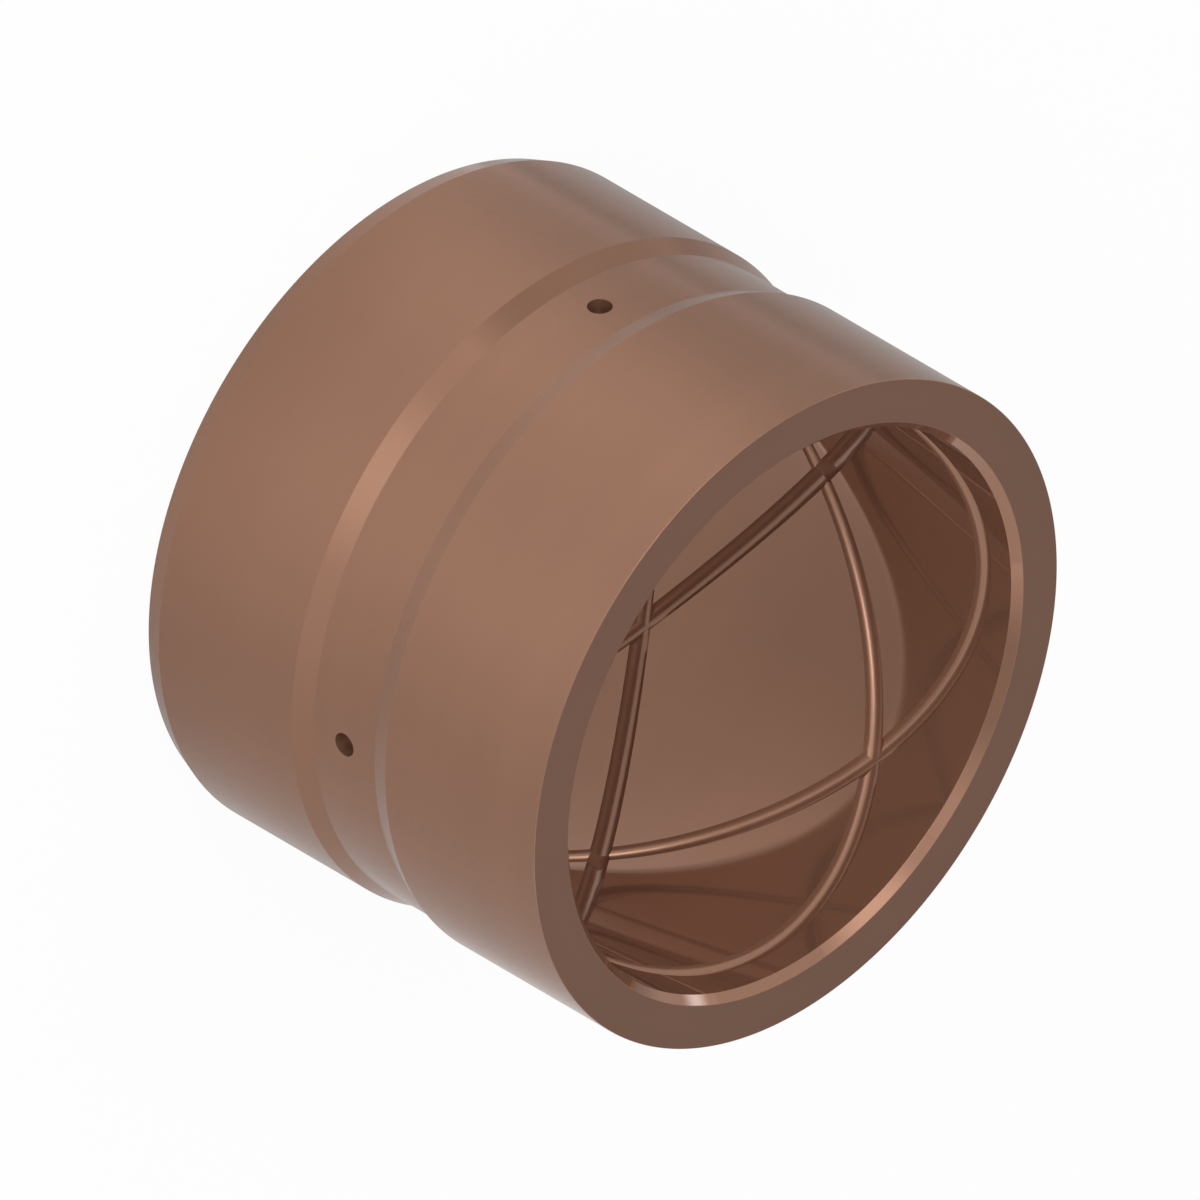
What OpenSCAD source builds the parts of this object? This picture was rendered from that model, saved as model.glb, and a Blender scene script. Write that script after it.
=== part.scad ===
// Grooved bronze bushing, turned in one piece. It stands on its chamfered end with the bore
// along Z. Two press lands carry it in its housing, and the relief groove between them takes
// grease from the housing. Four radial oil holes lead the grease into the bore, where four
// tilted oil grooves cross over each other and spread it over the pin.

/* [Body] */
// Diameter of the bore that runs on the pin
bore_d = 72; // [50:0.5:120]
// Thickness of the wall between the bore and the press lands
wall = 6.5; // [5:0.25:10]
// Length from end to end
length = 64.5; // [60:0.5:90]

/* [End chamfers] */
// Radial size of the 45 degree chamfer at each end of the bore
bore_chamfer = 1; // [0.5:0.25:1.5]
// Radial size of the lead-in chamfer on the outside of the lower end
lead_chamfer = 1; // [0.5:0.25:1.5]
// Angle of the lead-in chamfer to the axis
lead_angle = 20; // [15:1:30]

/* [Relief groove] */
// Depth of the relief groove round the outside
relief_depth = 1; // [0.5:0.25:1.5]
// Width of the flat floor of the relief groove
relief_floor_w = 10; // [6:0.5:14]
// Angle of the relief groove flanks to the axis
relief_flank_angle = 20; // [15:1:45]

/* [Oil holes] */
// Diameter of the radial oil holes
oil_hole_d = 3; // [2:0.25:5]
// Number of radial oil holes, and of oil grooves, evenly spaced round the bore
oil_hole_count = 4; // [2:2:4]

/* [Oil grooves] */
// Width across the round section of each oil groove
oil_groove_w = 2.5; // [1.5:0.25:3.5]
// Distance from each end face to the centre line of the oil grooves where they turn back
oil_groove_margin = 5.5; // [5:0.25:12]

/* [Hidden] */
$fn = 180;
oil_hole_facets = 48;

bore_r = bore_d / 2;
outer_r = bore_r + wall;
mid_z = length / 2;

// Axial lengths of the tapered stretches, from their radial sizes and their angles
lead_len = lead_chamfer / tan(lead_angle);
relief_flank_len = relief_depth / tan(relief_flank_angle);
relief_floor_r = outer_r - relief_depth;
relief_half_floor = relief_floor_w / 2;
relief_half_w = relief_half_floor + relief_flank_len;

// The centre line of an oil groove climbs this far above and below the middle of the bore
oil_groove_reach = mid_z - oil_groove_margin;

// Steps round the bore and round the full circle of the groove section
groove_steps = 60;
section_steps = 12;
section_step = 360 / section_steps;

// Each groove is this much wider than the one before, so that no two floors meet in a point
groove_growth = 0.01;

// How far a cutting tool runs past the face that it cuts
run_out = 1;

// Half section of the turned blank, from the bore outwards and from the lower end up
module turned_section() {
    polygon([
        [bore_r + bore_chamfer, 0],
        [outer_r - lead_chamfer, 0],
        [outer_r, lead_len],
        [outer_r, mid_z - relief_half_w],
        [relief_floor_r, mid_z - relief_half_floor],
        [relief_floor_r, mid_z + relief_half_floor],
        [outer_r, mid_z + relief_half_w],
        [outer_r, length],
        [bore_r + bore_chamfer, length],
        [bore_r, length - bore_chamfer],
        [bore_r, bore_chamfer]
    ]);
}

// Radial hole along X from inside the bore to the outside of the wall
module oil_hole() {
    translate([bore_r - run_out, 0, mid_z])
        rotate([0, 90, 0])
            cylinder(d = oil_hole_d, h = outer_r - bore_r + 2 * run_out, $fn = oil_hole_facets);
}

// Section of the ball-nosed cutter as [sideways, outwards] points: a half round of radius r,
// whose straight sides run back into the bore
function cutter_section(r) = concat(
    [for (b = [section_step / 2 : section_step : 180]) r / cos(section_step / 2) * [cos(b), sin(b)]],
    [[-r, -run_out], [r, -run_out]]
);

// Rise of the groove for each unit of length round the bore, at the angle a from its highest point
function groove_slope(a) = -oil_groove_reach * sin(a) / bore_r;

// One point of the cutter, square to the groove's centre line, at the angle a
function cutter_point(a, p) =
    let (
        slope = groove_slope(a),
        lean = norm([1, slope]),
        round_bore = -p[0] * slope / lean,
        up = p[0] / lean,
        r = bore_r + p[1]
    )
    [
        r * cos(a) - round_bore * sin(a),
        r * sin(a) + round_bore * cos(a),
        mid_z + oil_groove_reach * cos(a) + up
    ];

// The cutter swept once round the bore along the curve where a tilted plane meets the bore.
// Its highest point is on the side of +X.
module oil_groove_ring(r) {
    section = cutter_section(r);
    n = len(section);
    points = [
        for (i = [0 : groove_steps - 1], p = section) cutter_point(i * 360 / groove_steps, p)
    ];
    faces = [
        for (i = [0 : groove_steps - 1], j = [0 : n - 1])
            let (
                a = i * n + j,
                b = i * n + (j + 1) % n,
                c = (i + 1) % groove_steps * n + j,
                d = (i + 1) % groove_steps * n + (j + 1) % n
            )
            each [[a, c, b], [b, c, d]]
    ];
    polyhedron(points = points, faces = faces);
}

// The turned blank with its radial oil holes
module drilled_blank() {
    difference() {
        rotate_extrude() turned_section();
        for (i = [0 : oil_hole_count - 1])
            rotate([0, 0, i * 360 / oil_hole_count]) oil_hole();
    }
}

// The drilled blank with its first oil grooves, milled one after the other
module grooved_blank(count) {
    if (count == 0)
        drilled_blank();
    else
        difference() {
            grooved_blank(count - 1);
            rotate([0, 0, (count - 1) * 360 / oil_hole_count])
                oil_groove_ring(oil_groove_w / 2 + (count - 1) * groove_growth / 2);
        }
}

module bushing() {
    color([0.55, 0.42, 0.36]) grooved_blank(oil_hole_count);
}

bushing();
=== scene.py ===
"""Grooved bronze bushing: the looks round its packed model, laid out as an add-on.

The bushing is worked out again as fine surfaces from the same sizes as its source, so that the
turned walls and the milled oil grooves mirror their surroundings cleanly.
"""

import bpy
import numpy as np
from bpy.props import FloatProperty, FloatVectorProperty, IntProperty, PointerProperty
from mathutils import Matrix, Vector


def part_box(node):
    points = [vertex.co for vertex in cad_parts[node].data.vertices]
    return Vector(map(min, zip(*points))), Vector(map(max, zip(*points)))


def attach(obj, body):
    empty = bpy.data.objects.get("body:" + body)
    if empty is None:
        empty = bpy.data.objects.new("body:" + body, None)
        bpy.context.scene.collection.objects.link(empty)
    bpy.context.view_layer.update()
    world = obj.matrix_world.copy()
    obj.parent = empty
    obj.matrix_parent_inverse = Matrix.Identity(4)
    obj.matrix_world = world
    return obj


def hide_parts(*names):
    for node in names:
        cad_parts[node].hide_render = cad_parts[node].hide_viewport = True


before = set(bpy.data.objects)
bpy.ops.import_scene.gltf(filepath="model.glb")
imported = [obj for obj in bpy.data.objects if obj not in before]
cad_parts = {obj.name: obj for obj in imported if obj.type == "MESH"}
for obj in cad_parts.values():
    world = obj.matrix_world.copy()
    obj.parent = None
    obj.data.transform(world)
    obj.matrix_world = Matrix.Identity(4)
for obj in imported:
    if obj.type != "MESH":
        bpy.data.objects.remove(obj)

bl_info = {
    "name": "Grooved Bushing",
    "version": (1, 0, 0),
    "blender": (4, 5, 0),
    "location": "3D View > Sidebar > Bushing",
    "description": "A turned bronze bushing with crossing oil grooves, and a studio to show it in",
    "category": "Add Mesh",
}

NODE = "bushing"
PIECE = "turned_bushing"
LOW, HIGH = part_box(NODE)
OUTER_D = HIGH.x - LOW.x
LENGTH = HIGH.z - LOW.z
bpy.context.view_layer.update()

# How far a cutter runs past the face that it cuts
RUN_OUT = 0.001

# Up along the bushing's axis
UP = np.array([0, 0, 1.0])

# Keeps a direction from being divided by nothing
TINY = 1e-9

# Levels of finer grain in the tool marks, how strong each of them is, and their levels in the tint
MARK_DETAIL, MARK_GRAIN, TINT_DETAIL = 2.0, 0.6, 3.0

# White as the background, and as matt paint
WHITE, MATT_WHITE = (1, 1, 1, 1), (0.9, 0.9, 0.9, 1)

# Nearest and furthest that the camera sees, against its distance from the bushing
CLIP_NEAR, CLIP_FAR = 0.01, 20

# The finishes of the piece, in the order of its material slots
TURNED, BORED, MILLED, DRILLED = range(4)
FINISH_NAMES = ("bronze_turned", "bronze_bored", "bronze_milled", "bronze_drilled")


class BushingSizes(bpy.types.PropertyGroup):
    """Sizes of the bushing."""

    outer_d: FloatProperty(
        name="Outer diameter", description="Diameter of the press lands", default=OUTER_D, unit="LENGTH"
    )
    length: FloatProperty(
        name="Length", description="Length from end to end", default=LENGTH, unit="LENGTH"
    )
    bore_d: FloatProperty(
        name="Bore", description="Diameter of the bore", default=0.072, unit="LENGTH"
    )
    bore_chamfer: FloatProperty(
        name="Bore chamfer", description="Radial size of the bore's chamfers", default=0.001, unit="LENGTH"
    )
    lead_chamfer: FloatProperty(
        name="Lead chamfer", description="Radial size of the lead-in chamfer", default=0.001, unit="LENGTH"
    )
    taper: FloatProperty(
        name="Taper", description="Angle of the lead-in chamfer and of the relief flanks to the axis",
        default=np.radians(20), subtype="ANGLE",
    )
    relief_depth: FloatProperty(
        name="Relief depth", description="Depth of the relief groove", default=0.001, unit="LENGTH"
    )
    relief_floor_w: FloatProperty(
        name="Relief floor", description="Width of the relief groove's flat floor", default=0.010,
        unit="LENGTH",
    )
    edge_break: FloatProperty(
        name="Edge break", description="Radius left on the turned edges", default=0.0001, unit="LENGTH"
    )
    edge_steps: IntProperty(name="Edge steps", description="Steps round each turned edge", default=3)
    hole_d: FloatProperty(
        name="Oil hole", description="Diameter of the oil holes", default=0.003, unit="LENGTH"
    )
    hole_count: IntProperty(
        name="Oil holes", description="Number of oil holes, and of oil grooves", default=4
    )
    groove_w: FloatProperty(
        name="Oil groove", description="Width of the half-round oil grooves", default=0.0025, unit="LENGTH"
    )
    groove_growth: FloatProperty(
        name="Groove growth", description="How much wider each groove is than the one before",
        default=0.00001, unit="LENGTH",
    )
    groove_margin: FloatProperty(
        name="Groove margin", description="From an end face to the line where a groove turns back",
        default=0.0055, unit="LENGTH",
    )
    steps: IntProperty(name="Steps", description="Steps round the bushing", default=360)
    groove_steps: IntProperty(
        name="Groove steps", description="Steps over the half-round section of a groove", default=16
    )
    hole_steps: IntProperty(name="Hole steps", description="Steps round an oil hole", default=64)


class BronzeLook(bpy.types.PropertyGroup):
    """Colour and finish of the bronze."""

    colour: FloatVectorProperty(
        name="Bronze", description="Colour of the bronze", subtype="COLOR", size=3,
        default=(0.355, 0.184, 0.119), min=0, max=1,
    )
    wall_roughness: FloatProperty(
        name="Turned roughness", description="Roughness of the turned outside", default=0.20
    )
    bore_roughness: FloatProperty(
        name="Bore roughness", description="Roughness of the finely bored inside", default=0.045
    )
    groove_roughness: FloatProperty(
        name="Milled roughness", description="Roughness of the oil grooves and holes", default=0.24
    )
    metal_share: FloatProperty(
        name="Bright metal", description="Share of the turned surface that is bright, without oxide",
        default=0.68,
    )
    bore_metal_share: FloatProperty(
        name="Bright metal in the bore", description="The same share in the bore", default=0.6
    )
    groove_metal_share: FloatProperty(
        name="Bright metal in grooves", description="The same share in the oil grooves and holes",
        default=0.52,
    )
    # The next three settings paint light deep in the oil holes and paint shade towards their outer ends
    painted_hole_light: FloatProperty(
        name="Shine of the holes", description="Colour deep in the oil holes, against the rest",
        default=1.35,
    )
    painted_mouth_shade: FloatProperty(
        name="Shade of the holes", description="Share of the colour that oxide leaves in their outer ends",
        default=0.7,
    )
    painted_shade_reach: FloatProperty(
        name="Oxide reach", description="From mid-wall to where the oxide in the holes is full",
        default=0.001, unit="LENGTH",
    )
    mark_pitch: FloatProperty(
        name="Turning marks", description="Usual distance between turning marks", default=0.00012,
        unit="LENGTH",
    )
    mark_height: FloatProperty(
        name="Mark height", description="Height of the turning marks", default=0.0000012, unit="LENGTH"
    )
    bore_mark_height: FloatProperty(
        name="Bore mark height", description="Height of the marks in the bore", default=0.00000024,
        unit="LENGTH",
    )
    band_pitch: FloatProperty(
        name="Tint bands", description="Usual distance between bands of another tint", default=0.0048,
        unit="LENGTH",
    )
    cloud_scale: FloatProperty(
        name="Clouds", description="Clouds of another tint to the metre", default=60.0
    )
    cloud_share: FloatProperty(
        name="Cloud share", description="Share of the clouds in the tint, beside the bands", default=0.6
    )
    darkest: FloatProperty(name="Darkest", description="Darkest tint against the colour", default=0.93)
    lightest: FloatProperty(name="Lightest", description="Lightest tint against the colour", default=1.06)
    rough_change: FloatProperty(
        name="Change of roughness", description="How much marks and clouds change it", default=0.25
    )


class StudioLook(bpy.types.PropertyGroup):
    """Camera and light of the studio."""

    azimuth: FloatProperty(
        name="Azimuth", description="Side from which the camera looks", default=np.radians(45),
        subtype="ANGLE",
    )
    elevation: FloatProperty(
        name="Elevation", description="Height of the camera above the horizon", default=np.radians(35.6),
        subtype="ANGLE",
    )
    roll: FloatProperty(
        name="Roll", description="Turn of the camera about its own line of sight",
        default=np.radians(120.22), subtype="ANGLE",
    )
    radius_px: FloatProperty(
        name="Radius in the picture", description="Outer radius of the bushing in picture units",
        default=367.5,
    )
    picture_px: FloatProperty(
        name="Picture width", description="Width of the picture in the same units", default=1200
    )
    face_right_px: FloatProperty(
        name="Face to the right", description="Upper end's centre, right of the picture's middle",
        default=195.68,
    )
    face_down_px: FloatProperty(
        name="Face down", description="Upper end's centre, below the picture's middle", default=114.06
    )
    distance: FloatProperty(
        name="Distance", description="From the bushing's end face to the camera", default=1.0,
        unit="LENGTH",
    )
    ambient: FloatProperty(
        name="Ambient", description="Strength of the world on matt surfaces", default=0.48
    )
    sky_level: FloatProperty(
        name="Mirrored sky", description="Strength of the world in the metal", default=0.8
    )
    floor_size: FloatProperty(
        name="Floor", description="Length of a side of the floor", default=8.0, unit="LENGTH"
    )
    floor_drop: FloatProperty(
        name="Floor drop", description="How far the floor lies under the bushing", default=0.00002,
        unit="LENGTH",
    )
    floor_glow: FloatProperty(
        name="Floor glow", description="Share of the pale background in the floor, over matt white",
        default=0.95,
    )
    floor_level: FloatProperty(
        name="Mirrored floor", description="Strength of the floor in the metal", default=0.48
    )
    # Painted shadow on the floor at the foot of the wall, which only the metal mirrors
    contact_shade: FloatProperty(
        name="Contact", description="How much darker the floor is at the wall, on the camera's side",
        default=0.2,
    )
    contact_reach: FloatProperty(
        name="Contact reach", description="How far from the wall the floor is darker", default=0.03,
        unit="LENGTH",
    )
    # Painted shade of the floor inside the bore, lighter to one side, which only the metal mirrors
    bore_floor_level: FloatProperty(
        name="Floor in the bore", description="Strength of the floor in the middle of the bore",
        default=0.66,
    )
    bore_floor_slope: FloatProperty(
        name="Slope in the bore", description="How much stronger it is at the wall on one side",
        default=0.26,
    )
    bore_floor_side: FloatProperty(
        name="Side in the bore", description="Azimuth of that side", default=np.radians(270),
        subtype="ANGLE",
    )
    card_core: FloatProperty(
        name="Core of a card", description="Share of a card's radius that has its full colour",
        default=0.2,
    )


class Maths:
    """A socket that can be used in sums, products and powers: each of them adds its Math node."""

    def __init__(self, finish, socket):
        self.finish, self.socket = finish, socket

    def __add__(self, other):
        return self.finish.maths("ADD", self, other)

    def __radd__(self, other):
        return self.finish.maths("ADD", other, self)

    def __sub__(self, other):
        return self.finish.maths("SUBTRACT", self, other)

    def __rsub__(self, other):
        return self.finish.maths("SUBTRACT", other, self)

    def __mul__(self, other):
        return self.finish.maths("MULTIPLY", self, other)

    def __rmul__(self, other):
        return self.finish.maths("MULTIPLY", other, self)

    def __truediv__(self, other):
        return self.finish.maths("DIVIDE", self, other)

    def __pow__(self, other):
        return self.finish.maths("POWER", self, other)


class Finish:
    """A node tree that is being written."""

    def __init__(self, tree):
        tree.nodes.clear()
        self.tree = tree

    def node(self, kind, settings=None, values=None, output=0):
        """Adds a node, sets its settings and then the values or links of its sockets."""
        made = self.tree.nodes.new(kind)
        for name, value in (settings or {}).items():
            setattr(made, name, value)
        for name, value in (values or {}).items():
            if isinstance(value, Maths):
                self.tree.links.new(value.socket, made.inputs[name])
            else:
                made.inputs[name].default_value = value
        return Maths(self, made.outputs[output]) if made.outputs else made

    def part(self, maths, output):
        """Another output of the node that a value comes from."""
        return Maths(self, maths.socket.node.outputs[output])

    def blend(self, factor, a, b):
        """The colour a where the factor is 0 and b where it is 1."""
        mixed = self.node("ShaderNodeMix", {"data_type": "RGBA"}, {"Factor": factor})
        for name, value in (("A", a), ("B", b)):
            socket = next(s for s in mixed.socket.node.inputs if s.name == name and s.type == "RGBA")
            if isinstance(value, Maths):
                self.tree.links.new(value.socket, socket)
            else:
                socket.default_value = value
        return Maths(self, next(s for s in mixed.socket.node.outputs if s.type == "RGBA"))

    def maths(self, operation, *values):
        """Adds a Math node for the values, and gives its result."""
        return self.node("ShaderNodeMath", {"operation": operation}, dict(enumerate(values)))

    def vector(self, operation, *values, output=0):
        """A Vector Math node: output 0 is its vector, and output 1 its number."""
        return self.node("ShaderNodeVectorMath", {"operation": operation}, dict(enumerate(values)), output)

    def soft_step(self, value, start, end):
        """0 at the start and before it, 1 at the end and past it, with a smooth change between."""
        return self.node(
            "ShaderNodeMapRange", {"interpolation_type": "SMOOTHSTEP"},
            {"Value": value, "From Min": start, "From Max": end, "To Min": 0.0, "To Max": 1.0},
        )

    def background_seen(self):
        """1 for the rays that show the pale background: straight, mirrored and through glass."""
        path = self.node("ShaderNodeLightPath")
        straight, mirrored = self.part(path, "Is Camera Ray"), self.part(path, "Is Glossy Ray")
        return straight + mirrored + self.part(path, "Is Transmission Ray")


def circle_steps(steps):
    """Angles of equal steps round a full circle."""
    return np.arange(steps) * 2 * np.pi / steps


def round_direction(angle):
    """Unit vectors away from the bushing's axis at each angle."""
    return np.stack([np.cos(angle), np.sin(angle), np.zeros_like(angle)], -1)


def rounded_outline(corners, radius, steps):
    """The corners of a closed outline, each one replaced by an arc that touches both its sides.

    The arc is centre - radius * cos(t) * middle + radius * sin(t) * across. Middle is the unit vector
    from the corner along the half-angle line, and across is the one square to it. Returns the points
    and their outward normals.
    """
    back = np.roll(corners, 1, axis=0) - corners
    ahead = np.roll(corners, -1, axis=0) - corners
    back /= np.linalg.norm(back, axis=1, keepdims=True)
    ahead /= np.linalg.norm(ahead, axis=1, keepdims=True)
    middle = back + ahead
    half = np.arccos(np.clip(np.sum(back * ahead, axis=1), -1, 1)) / 2
    middle /= np.linalg.norm(middle, axis=1, keepdims=True)
    across = (ahead - back) / np.linalg.norm(ahead - back, axis=1, keepdims=True)
    centre = corners + middle * (radius / np.sin(half))[:, None]
    t = (np.pi / 2 - half)[:, None] * np.linspace(-1, 1, steps + 1)
    cos_t, sin_t = np.cos(t)[..., None], np.sin(t)[..., None]
    points = centre[:, None] - radius * cos_t * middle[:, None] + radius * sin_t * across[:, None]
    along = sin_t * middle[:, None] + cos_t * across[:, None]
    normals = np.stack([along[..., 1], -along[..., 0]], -1)
    return points.reshape(-1, 2), normals.reshape(-1, 2)


def turned_outline(sizes):
    """Half section of the bushing as (radius, height), from the bore outwards and up, as in its source."""
    outer, bore, middle = sizes.outer_d / 2, sizes.bore_d / 2, sizes.length / 2
    half_floor = sizes.relief_floor_w / 2
    half_relief = half_floor + sizes.relief_depth / np.tan(sizes.taper)
    floor = outer - sizes.relief_depth
    corners = np.array([
        [bore + sizes.bore_chamfer, 0],
        [outer - sizes.lead_chamfer, 0],
        [outer, sizes.lead_chamfer / np.tan(sizes.taper)],
        [outer, middle - half_relief],
        [floor, middle - half_floor],
        [floor, middle + half_floor],
        [outer, middle + half_relief],
        [outer, sizes.length],
        [bore + sizes.bore_chamfer, sizes.length],
        [bore, sizes.length - sizes.bore_chamfer],
        [bore, sizes.bore_chamfer],
    ])
    return rounded_outline(corners, sizes.edge_break, sizes.edge_steps)


def add_mesh(name, points, quads, normals, marks, finish, caps=()):
    """A mesh object of a grid's points and faces, with the finish of each face or one for all.

    Each face corner keeps the true normal of the surface and its distance along the cutter's feed.
    Caps are further faces, which close the ends of the grid.
    """
    mesh = bpy.data.meshes.new(name)
    grid = quads.reshape(-1, 4)
    mesh.from_pydata(points.reshape(-1, 3), [], grid.tolist() + [list(cap) for cap in caps])
    corner = np.zeros(len(mesh.loops), np.int32)
    mesh.loops.foreach_get("vertex_index", corner)
    flat_normals, flat_marks = normals.reshape(-1, 3), marks.reshape(-1)
    kept = mesh.attributes.new("surface_normal", "FLOAT_VECTOR", "CORNER")
    kept.data.foreach_set("vector", flat_normals[corner].ravel())
    kept = mesh.attributes.new("feed", "FLOAT", "CORNER")
    kept.data.foreach_set("value", flat_marks[corner])
    for finish_name in FINISH_NAMES:
        mesh.materials.append(bpy.data.materials[finish_name])
    slots = np.full(len(mesh.polygons), TURNED, np.int32)
    slots[:len(grid)] = np.broadcast_to(finish, quads.shape[:2]).ravel()
    mesh.polygons.foreach_set("material_index", slots)
    mesh.update()
    made = bpy.data.objects.new(name, mesh)
    bpy.context.scene.collection.objects.link(made)
    return made


def grid_quads(rows, columns, close_columns=True):
    """Faces of a grid: its last row joins its first, and so does its last column if the columns close."""
    i = np.arange(rows)[:, None]
    j = np.arange(columns if close_columns else columns - 1)[None, :]
    i_next, j_next = (i + 1) % rows, (j + 1) % columns
    return np.stack([
        i * columns + j, i_next * columns + j, i_next * columns + j_next, i * columns + j_next
    ], -1)


def turned_blank(sizes):
    """The outline carried once round the axis: (r cos a, r sin a, z)."""
    outline, outward = turned_outline(sizes)
    around = round_direction(circle_steps(sizes.steps))[:, None]
    points = outline[:, :1] * around + outline[:, 1:] * UP
    normals = outward[:, :1] * around + outward[:, 1:] * UP
    feed = np.cumsum(np.linalg.norm(outline - np.roll(outline, 1, axis=0), axis=1))
    marks = np.broadcast_to(feed, points.shape[:2])
    bored_out_to = sizes.bore_d / 2 + sizes.bore_chamfer + sizes.edge_break / 2
    in_bore = np.maximum(outline[:, 0], np.roll(outline[:, 0], -1)) < bored_out_to
    finish = np.where(in_bore, BORED, TURNED)
    return add_mesh("blank", points, grid_quads(*points.shape[:2]), normals, marks, finish)


def groove_cutter(sizes, index):
    """The ball-nosed cutter carried once round the bore along height = middle + reach * cos(a).

    Its section is square to that line: half a circle outwards, and straight sides back into the bore.
    """
    radius = (sizes.groove_w + index * sizes.groove_growth) / 2
    reach = sizes.length / 2 - sizes.groove_margin
    step = np.pi / sizes.groove_steps
    b = (np.arange(sizes.groove_steps) + 0.5) * step
    # The corners stand a little outside the half circle, so that the flats between them touch it
    half_round = radius / np.cos(step / 2) * np.stack([np.cos(b), np.sin(b)], -1)
    section = np.concatenate([half_round, [[-radius, -RUN_OUT], [radius, -RUN_OUT]]])
    facing = np.concatenate([np.stack([np.cos(b), np.sin(b)], -1), [[-1, 0], [1, 0]]])

    a = circle_steps(sizes.steps)
    turn = index * 2 * np.pi / sizes.hole_count
    outward, along = round_direction(a + turn), round_direction(a + turn + np.pi / 2)
    slope = (-reach * np.sin(a) / (sizes.bore_d / 2))[:, None]
    across = (UP - slope * along) / np.sqrt(1 + slope**2)
    line = sizes.bore_d / 2 * outward + (sizes.length / 2 + reach * np.cos(a))[:, None] * UP
    points = line[:, None] + section[:, :1] * across[:, None] + section[:, 1:] * outward[:, None]
    normals = facing[:, :1] * across[:, None] + facing[:, 1:] * outward[:, None]
    marks = np.broadcast_to(radius * np.append(b, [0, 0]), points.shape[:2])
    quads = grid_quads(*points.shape[:2])[..., ::-1]
    return add_mesh(f"groove_cutter_{index}", points, quads, normals, marks, MILLED)


def hole_cutter(sizes, index):
    """A drill along a radius at mid-length: a circle carried from inside the bore to outside the wall."""
    a = circle_steps(sizes.hole_steps)
    turn = np.array(index * 2 * np.pi / sizes.hole_count)
    outward, sideways = round_direction(turn), round_direction(turn + np.pi / 2)
    facing = np.cos(a)[:, None] * sideways + np.sin(a)[:, None] * UP
    reach = np.array([sizes.bore_d / 2 - RUN_OUT, sizes.outer_d / 2 + RUN_OUT])
    rim = sizes.hole_d / 2 * facing + sizes.length / 2 * UP
    points = rim[:, None] + reach[:, None] * outward
    normals = np.broadcast_to(facing[:, None], points.shape)
    marks = np.broadcast_to(reach, points.shape[:2])
    inner = np.arange(sizes.hole_steps) * 2
    outer = inner + 1
    quads = grid_quads(sizes.hole_steps, 2, close_columns=False)
    return add_mesh(
        f"hole_cutter_{index}", points, quads, normals, marks, DRILLED, (inner[::-1], outer)
    )


def cut_away(blank, cutters):
    """Cuts the cutters out of the blank, gives the mesh that is left, and clears all of them away."""
    tools = bpy.data.collections.new("cutters")
    for cutter in cutters:
        tools.objects.link(cutter)
    cut = blank.modifiers.new("cut", "BOOLEAN")
    cut.operation, cut.solver = "DIFFERENCE", "EXACT"
    cut.operand_type, cut.collection = "COLLECTION", tools
    bpy.context.view_layer.update()
    shown = blank.evaluated_get(bpy.context.evaluated_depsgraph_get())
    mesh = bpy.data.meshes.new_from_object(shown)
    for cutter in cutters:
        bpy.data.objects.remove(cutter)
    bpy.data.collections.remove(tools)
    bpy.data.objects.remove(blank)
    return mesh


def true_normals(mesh):
    """Gives every face corner the normal that it kept from its surface, turned to the face's open side."""
    count = len(mesh.loops)
    kept, flat = np.zeros(count * 3, np.float32), np.zeros(len(mesh.polygons) * 3, np.float32)
    sides = np.zeros(len(mesh.polygons), np.int32)
    mesh.attributes["surface_normal"].data.foreach_get("vector", kept)
    mesh.polygons.foreach_get("normal", flat)
    mesh.polygons.foreach_get("loop_total", sides)
    kept, flat = kept.reshape(-1, 3), np.repeat(flat.reshape(-1, 3), sides, axis=0)
    kept /= np.maximum(np.linalg.norm(kept, axis=1, keepdims=True), TINY)
    kept *= np.sign(np.sum(kept * flat, axis=1, keepdims=True))
    mesh.polygons.foreach_set("use_smooth", np.ones(len(mesh.polygons), bool))
    mesh.attributes.remove(mesh.attributes["surface_normal"])
    mesh.normals_split_custom_set(kept)


def bronze(name, look, roughness, metal_share, mark_height, painted_light=1.0, mouth=None):
    """Bronze as a tool leaves it: fine marks that follow the feed, and a faint change of tint.

    The painted light multiplies the colour, as painted light deep in the oil holes. The mouth is the pair
    of distances along the feed between which the colour darkens, as painted shade towards the outer ends
    of the holes.
    """
    made = bpy.data.materials.get(name) or bpy.data.materials.new(name)
    made.use_nodes = True
    f = Finish(made.node_tree)
    place = f.part(f.node("ShaderNodeTexCoord"), "Object")
    feed = f.part(f.node("ShaderNodeAttribute", {"attribute_name": "feed"}), "Fac")
    marks = f.node(
        "ShaderNodeTexNoise", {"noise_dimensions": "1D"},
        {"W": feed / look.mark_pitch, "Scale": 1.0, "Detail": MARK_DETAIL, "Roughness": MARK_GRAIN},
    )
    bands = f.node(
        "ShaderNodeTexNoise", {"noise_dimensions": "1D"},
        {"W": feed / look.band_pitch, "Scale": 1.0, "Detail": TINT_DETAIL},
    )
    cloud = f.node(
        "ShaderNodeTexNoise", {}, {"Vector": place, "Scale": look.cloud_scale, "Detail": TINT_DETAIL}
    )
    dark = [c * painted_light * look.darkest for c in look.colour] + [1]
    light = [c * painted_light * look.lightest for c in look.colour] + [1]
    tint = f.blend(cloud * look.cloud_share + bands * (1 - look.cloud_share), dark, light)
    # Painted shade: the colour darkens towards the outer ends of the oil holes
    if mouth:
        darkening = f.soft_step(feed, *mouth)
        tint = f.blend(darkening, tint, [c * look.painted_mouth_shade for c in look.colour] + [1])
    rough = roughness * (1 + look.rough_change * (marks + cloud - 1))
    bump = f.node("ShaderNodeBump", {}, {"Strength": 1.0, "Distance": mark_height, "Height": marks})
    surface = f.node(
        "ShaderNodeBsdfPrincipled", {},
        {"Base Color": tint, "Metallic": metal_share, "Roughness": rough, "Normal": bump},
    )
    f.node("ShaderNodeOutputMaterial", {}, {"Surface": surface})
    made.diffuse_color = (*look.colour, 1)
    return made


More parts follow.
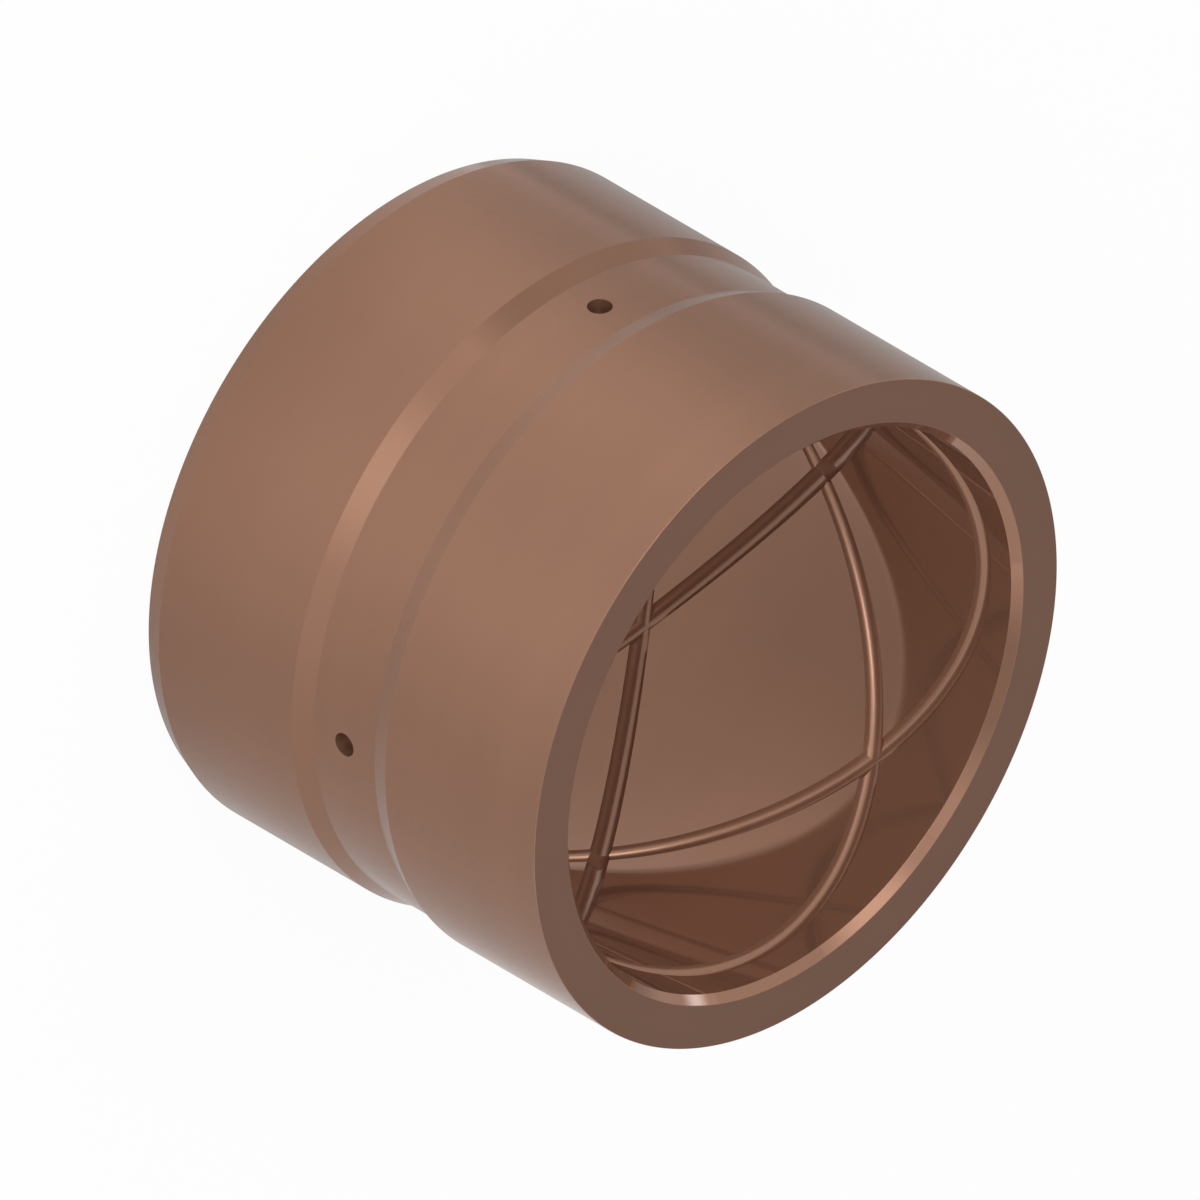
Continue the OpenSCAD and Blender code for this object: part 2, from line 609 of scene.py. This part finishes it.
class BUSHING_OT_bronze(bpy.types.Operator):
    """Makes the bronze as it is turned, milled and drilled."""

    bl_idname = "bushing.bronze"
    bl_label = "Bronze"

    def execute(self, context):
        look, sizes = context.scene.bronze_look, context.scene.bushing_sizes
        turned, bored, milled, drilled = FINISH_NAMES
        bronze(turned, look, look.wall_roughness, look.metal_share, look.mark_height)
        bronze(bored, look, look.bore_roughness, look.bore_metal_share, look.bore_mark_height)
        cut = (look.groove_roughness, look.groove_metal_share, look.mark_height)
        bronze(milled, look, *cut)
        # Drilled bronze is painted lighter deep in the oil holes and painted darker towards their outer
        # ends
        mid_wall = (sizes.bore_d + sizes.outer_d) / 4
        mouth = (mid_wall - look.painted_shade_reach, mid_wall + look.painted_shade_reach)
        bronze(drilled, look, *cut, look.painted_hole_light, mouth)
        return {"FINISHED"}


class BUSHING_OT_body(bpy.types.Operator):
    """Turns the bushing, and cuts its oil holes and oil grooves."""

    bl_idname = "bushing.body"
    bl_label = "Bushing"

    def execute(self, context):
        sizes = context.scene.bushing_sizes
        cutters = [groove_cutter(sizes, i) for i in range(sizes.hole_count)]
        cutters += [hole_cutter(sizes, i) for i in range(sizes.hole_count)]
        mesh = cut_away(turned_blank(sizes), cutters)
        true_normals(mesh)
        mesh.name = PIECE
        piece = bpy.data.objects.new(PIECE, mesh)
        context.scene.collection.objects.link(piece)
        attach(piece, "root")
        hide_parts(NODE)
        # The node that it replaces is turned bronze too
        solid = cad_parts[NODE]
        for slot in solid.material_slots:
            slot.material = bpy.data.materials[FINISH_NAMES[TURNED]]
        return {"FINISHED"}


def studio_direction(azimuth, elevation):
    """Unit vector from the bushing towards a place in the studio, on the camera's way of counting."""
    flat = np.cos(elevation)
    return Vector((np.sin(azimuth) * flat, -np.cos(azimuth) * flat, np.sin(elevation)))


def add_camera(look, sizes):
    """A camera without perspective, turned about its line of sight as the picture shows the bushing."""
    back = studio_direction(look.azimuth, look.elevation)
    level = Vector((0, 0, 1)).cross(back).normalized()
    upright = back.cross(level)
    right = level * np.cos(look.roll) + upright * np.sin(look.roll)
    up = upright * np.cos(look.roll) - level * np.sin(look.roll)
    unit = sizes.outer_d / 2 / look.radius_px
    face = Vector((0, 0, sizes.length))
    target = face - unit * look.face_right_px * right + unit * look.face_down_px * up
    camera = bpy.data.objects.new("camera", bpy.data.cameras.new("camera"))
    bpy.context.scene.collection.objects.link(camera)
    camera.data.type = "ORTHO"
    camera.data.ortho_scale = look.picture_px * unit
    camera.data.clip_start, camera.data.clip_end = look.distance * CLIP_NEAR, look.distance * CLIP_FAR
    turn = Matrix((right, up, back)).transposed().to_4x4()
    camera.matrix_world = Matrix.Translation(target + back * look.distance) @ turn
    bpy.context.scene.camera = camera


def placed(made, azimuth, elevation, distance):
    """Puts a lamp or a card at a place in the studio, facing the bushing."""
    back = studio_direction(np.radians(azimuth), np.radians(elevation))
    turn = back.to_track_quat("Z", "Y").to_matrix().to_4x4()
    made.matrix_world = Matrix.Translation(back * distance) @ turn
    bpy.context.scene.collection.objects.link(made)


def add_lamp(name, azimuth, elevation, distance, size, strength):
    """A square softbox for the floor and for what is matt, as bright all over as its strength says."""
    lamp = bpy.data.lights.new(name, "AREA")
    lamp.size = size
    lamp.energy = strength * np.pi * size**2
    made = bpy.data.objects.new(name, lamp)
    made.visible_camera = made.visible_glossy = False
    placed(made, azimuth, elevation, distance)


def add_card(name, core, azimuth, elevation, distance, width, height, colour, rim=WHITE[:3]):
    """A light or dark card that only the metal mirrors.

    Its colour goes softly from the rim's, white if none is given, to its own in the middle.
    """
    mesh = bpy.data.meshes.new(name)
    x, y = width / 2, height / 2
    mesh.from_pydata([(-x, -y, 0), (x, -y, 0), (x, y, 0), (-x, y, 0)], [], [(0, 1, 2, 3)])
    card = bpy.data.objects.new(name, mesh)
    placed(card, azimuth, elevation, distance)
    made = bpy.data.materials.new(name)
    made.use_nodes = True
    f = Finish(made.node_tree)
    place = f.part(f.node("ShaderNodeTexCoord"), "Object")
    from_middle = f.vector("LENGTH", f.vector("DIVIDE", place, (x, y, 1)), output=1)
    tint = f.blend(f.soft_step(from_middle, 1.0, core), (*rim, 1), (*colour, 1))
    glow = f.node("ShaderNodeEmission", {}, {"Color": tint, "Strength": 1.0})
    f.node("ShaderNodeOutputMaterial", {}, {"Surface": glow})
    mesh.materials.append(made)
    card.visible_camera = card.visible_diffuse = card.visible_shadow = False


def floor_finish(look, sizes):
    """Matt white that keeps the shadow, under the pale background that the camera and the metal see. In
    the metal that background carries painted pools of light and streaks, a painted shadow at the foot of
    the wall and painted shade inside the bore.
    """
    made = bpy.data.materials.new("floor")
    made.use_nodes = True
    f = Finish(made.node_tree)
    place = f.part(f.node("ShaderNodeTexCoord"), "Object")

    def pool(azimuth, tightness, strength, source=(0.0, 0.0, 0.0)):
        """A soft pool of light on the floor, which fans out from its source to one side."""
        towards = f.vector("NORMALIZE", f.vector("SUBTRACT", place, source))
        side = studio_direction(np.radians(azimuth), 0.0)
        facing = f.vector("DOT_PRODUCT", towards, side, output=1)
        return strength * f.maths("MAXIMUM", facing, 0.0) ** tightness

    def streak(angle, tightness, strength):
        """A narrow pool that the wall mirrors as a straight streak, at an angle from +X round the axis.

        It fans out from the focal line of the round wall, r / 2 * cos(incidence) behind its surface.
        The camera's side is counted from +X too.
        """
        outer, turn = sizes.outer_d / 2, np.radians(angle)
        sight = look.azimuth - np.pi / 2
        mirrored_to = 2 * turn - sight
        depth = outer / 2 * np.cos(turn - sight)
        source = outer * round_direction(np.array(turn)) - depth * round_direction(np.array(mirrored_to))
        return pool(np.degrees(mirrored_to + np.pi / 2), tightness, strength, source)

    mirrored = f.part(f.node("ShaderNodeLightPath"), "Is Glossy Ray")
    # Painted pools of light and streaks on the floor, which only the metal mirrors
    around = (
        look.floor_level
        + pool(azimuth=0, tightness=9, strength=0.38)
        + pool(azimuth=55, tightness=6, strength=0.32)
        + pool(azimuth=155, tightness=2, strength=0.12)
        + pool(azimuth=217, tightness=6, strength=0.6)
        # A painted dark streak and a painted light streak
        + streak(angle=-111.3, tightness=235, strength=-0.12)
        + streak(angle=-106.5, tightness=235, strength=0.11)
    )
    distance = f.vector("LENGTH", place, output=1)
    inside = f.maths("LESS_THAN", distance, sizes.bore_d / 2)
    wall = sizes.outer_d / 2
    # Painted shadow on the floor at the foot of the wall, strongest on the camera's side, which only the
    # metal mirrors
    painted_contact_shadow = look.contact_shade * f.soft_step(distance, wall + look.contact_reach, wall)
    painted_contact_shadow = painted_contact_shadow * pool(azimuth=np.degrees(look.azimuth), tightness=1, strength=1.0)
    # Painted shade of the floor inside the bore, lighter to one side, which only the metal mirrors
    aside = f.vector("DOT_PRODUCT", place, studio_direction(look.bore_floor_side, 0.0), output=1)
    painted_bore_shade = look.bore_floor_level + look.bore_floor_slope * (aside / (sizes.bore_d / 2))
    level = inside * painted_bore_shade + (1 - inside) * around * (1 - painted_contact_shadow)
    glow = f.node("ShaderNodeEmission", {}, {"Color": 1 - mirrored * (1 - level), "Strength": 1.0})
    matt = f.node("ShaderNodeBsdfDiffuse", {}, {"Color": MATT_WHITE})
    share = f.background_seen() * look.floor_glow
    mixed = f.node("ShaderNodeMixShader", {}, {0: share, 1: matt, 2: glow})
    f.node("ShaderNodeOutputMaterial", {}, {"Surface": mixed})
    return made


class BUSHING_OT_stage(bpy.types.Operator):
    """Sets up the floor, the background, the lamps and the camera."""

    bl_idname = "bushing.stage"
    bl_label = "Stage"

    def floor(self, look, sizes):
        """A wide flat floor just under the bushing."""
        half, low = look.floor_size / 2, -look.floor_drop
        corners = [(-half, -half, low), (half, -half, low), (half, half, low), (-half, half, low)]
        mesh = bpy.data.meshes.new("floor")
        mesh.from_pydata(corners, [], [(0, 1, 2, 3)])
        mesh.materials.append(floor_finish(look, sizes))
        floor = bpy.data.objects.new("floor", mesh)
        bpy.context.scene.collection.objects.link(floor)

    def lights(self, look):
        """Softboxes for what is matt, and cards for the metal to mirror: places in degrees and metres."""
        add_lamp("key", azimuth=-8, elevation=55, distance=1.2, size=0.9, strength=0.7)
        add_lamp("fill", azimuth=95, elevation=50, distance=1.2, size=0.9, strength=0.5)
        add_lamp("head", azimuth=45, elevation=38, distance=1.2, size=0.9, strength=3.0)
        core = look.card_core
        add_card(
            "key_card", core, azimuth=-8, elevation=48, distance=0.9, width=0.6, height=0.6,
            colour=(2.0, 2.0, 2.0),
        )
        add_card(
            "groove_card", core, azimuth=24, elevation=38, distance=0.88, width=0.4, height=0.36,
            colour=(6.0, 6.0, 6.0),
        )
        add_card(
            "front_card", core, azimuth=46, elevation=5, distance=0.9, width=0.85, height=0.4,
            colour=(1.45, 1.45, 1.45),
        )
        add_card(
            "low_side_card", core, azimuth=-26, elevation=3, distance=0.95, width=1.1, height=0.6,
            colour=(0.15, 0.15, 0.15),
        )
        add_card(
            "accent_card", core, azimuth=-79, elevation=15.3, distance=0.9, width=0.17, height=0.3,
            colour=(3.4, 4.5, 6.0),
        )
        add_card(
            "low_back_card", core, azimuth=-106, elevation=2, distance=0.92, width=0.74, height=0.53,
            colour=(0.35, 0.35, 0.35), rim=(look.sky_level,) * 3,
        )
        add_card(
            "high_card", core, azimuth=225, elevation=35.6, distance=0.7, width=1.1, height=1.1,
            colour=(0.24, 0.26, 0.31),
        )
        add_card(
            "side_card", core, azimuth=100, elevation=49, distance=0.7, width=0.95, height=0.95,
            colour=(0.35, 0.35, 0.35),
        )

    def background(self, scene, look):
        """White for the camera, a little less in the metal, and a dim soft light on what is matt."""
        world = bpy.data.worlds.new("studio")
        scene.world = world
        world.use_nodes = True
        f = Finish(world.node_tree)
        mirrored = f.part(f.node("ShaderNodeLightPath"), "Is Glossy Ray")
        strength = look.ambient + (1 - look.ambient) * f.background_seen()
        strength = strength - (1 - look.sky_level) * mirrored
        air = f.node("ShaderNodeBackground", {}, {"Color": WHITE, "Strength": strength})
        f.node("ShaderNodeOutputWorld", {}, {"Surface": air})

    def execute(self, context):
        scene = context.scene
        look, sizes = scene.studio_look, scene.bushing_sizes
        add_camera(look, sizes)
        self.floor(look, sizes)
        self.lights(look)
        self.background(scene, look)
        scene.view_settings.view_transform = "Standard"
        return {"FINISHED"}


class BUSHING_PT_panel(bpy.types.Panel):
    """Lists the sizes, the looks and the steps."""

    bl_idname = "BUSHING_PT_panel"
    bl_label = "Grooved bushing"
    bl_space_type = "VIEW_3D"
    bl_region_type = "UI"
    bl_category = "Bushing"

    def draw(self, context):
        for name, group in GROUPS.items():
            box = self.layout.box()
            box.label(text=group.__doc__)
            settings = getattr(context.scene, name)
            for setting in group.__annotations__:
                box.prop(settings, setting)
        for step in STEPS:
            self.layout.operator(step.bl_idname)


GROUPS = {"bushing_sizes": BushingSizes, "bronze_look": BronzeLook, "studio_look": StudioLook}
STEPS = (BUSHING_OT_bronze, BUSHING_OT_body, BUSHING_OT_stage)
CLASSES = (*GROUPS.values(), *STEPS, BUSHING_PT_panel)


def register():
    """Adds the classes, and their settings to the scene."""
    for made in CLASSES:
        bpy.utils.register_class(made)
    for name, group in GROUPS.items():
        setattr(bpy.types.Scene, name, PointerProperty(type=group))


def unregister():
    """Takes the settings and the classes away again."""
    for name in GROUPS:
        delattr(bpy.types.Scene, name)
    for made in reversed(CLASSES):
        bpy.utils.unregister_class(made)


def main():
    register()
    bpy.ops.bushing.bronze()
    bpy.ops.bushing.body()
    bpy.ops.bushing.stage()


if __name__ == "__main__":
    main()
